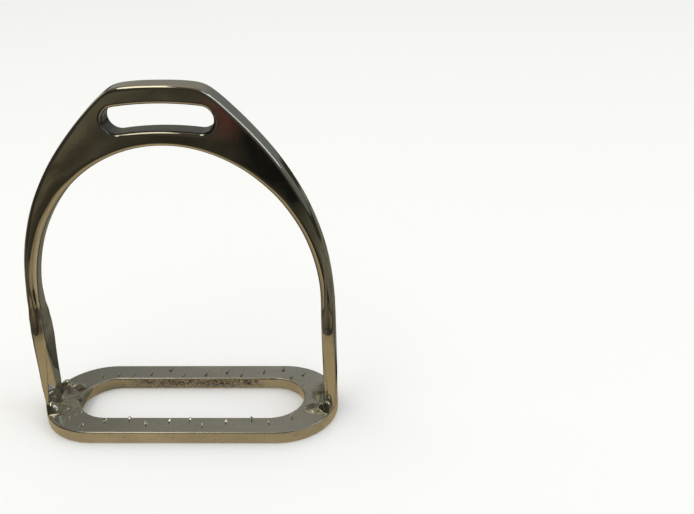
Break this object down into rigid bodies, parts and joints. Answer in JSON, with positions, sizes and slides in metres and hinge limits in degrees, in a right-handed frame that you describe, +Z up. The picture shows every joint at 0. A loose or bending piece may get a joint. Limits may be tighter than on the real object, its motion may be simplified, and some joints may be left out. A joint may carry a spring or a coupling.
{
  "type": "stirrup iron",
  "caption": "Plain solid-metal stirrup iron: an arched bow with an eye for the leather, welded to a flat ring tread that has round ends and raised gripping teeth.",
  "frame": {"origin": "centre of the tread's underside, on the plane that the iron stands on", "axes": "+Z up through the middle of the eye, +X along the tread towards the right leg, +Y from the front face to the rear face"},
  "size_m": [0.1324, 0.0522, 0.1514],
  "materials": {
    "bow_polished_metal": "polished, with fine handling scratches",
    "tread_satin_metal": "satin, smudged, with hand-cut teeth",
    "weld_metal": "polished weld metal with dark heat stains"
  },
  "bodies": {
    "root": {"bow": "bow_polished_metal", "tread": "tread_satin_metal", "left_weld_bead": "weld_metal", "right_weld_bead": "weld_metal"}
  },
  "joints": []
}
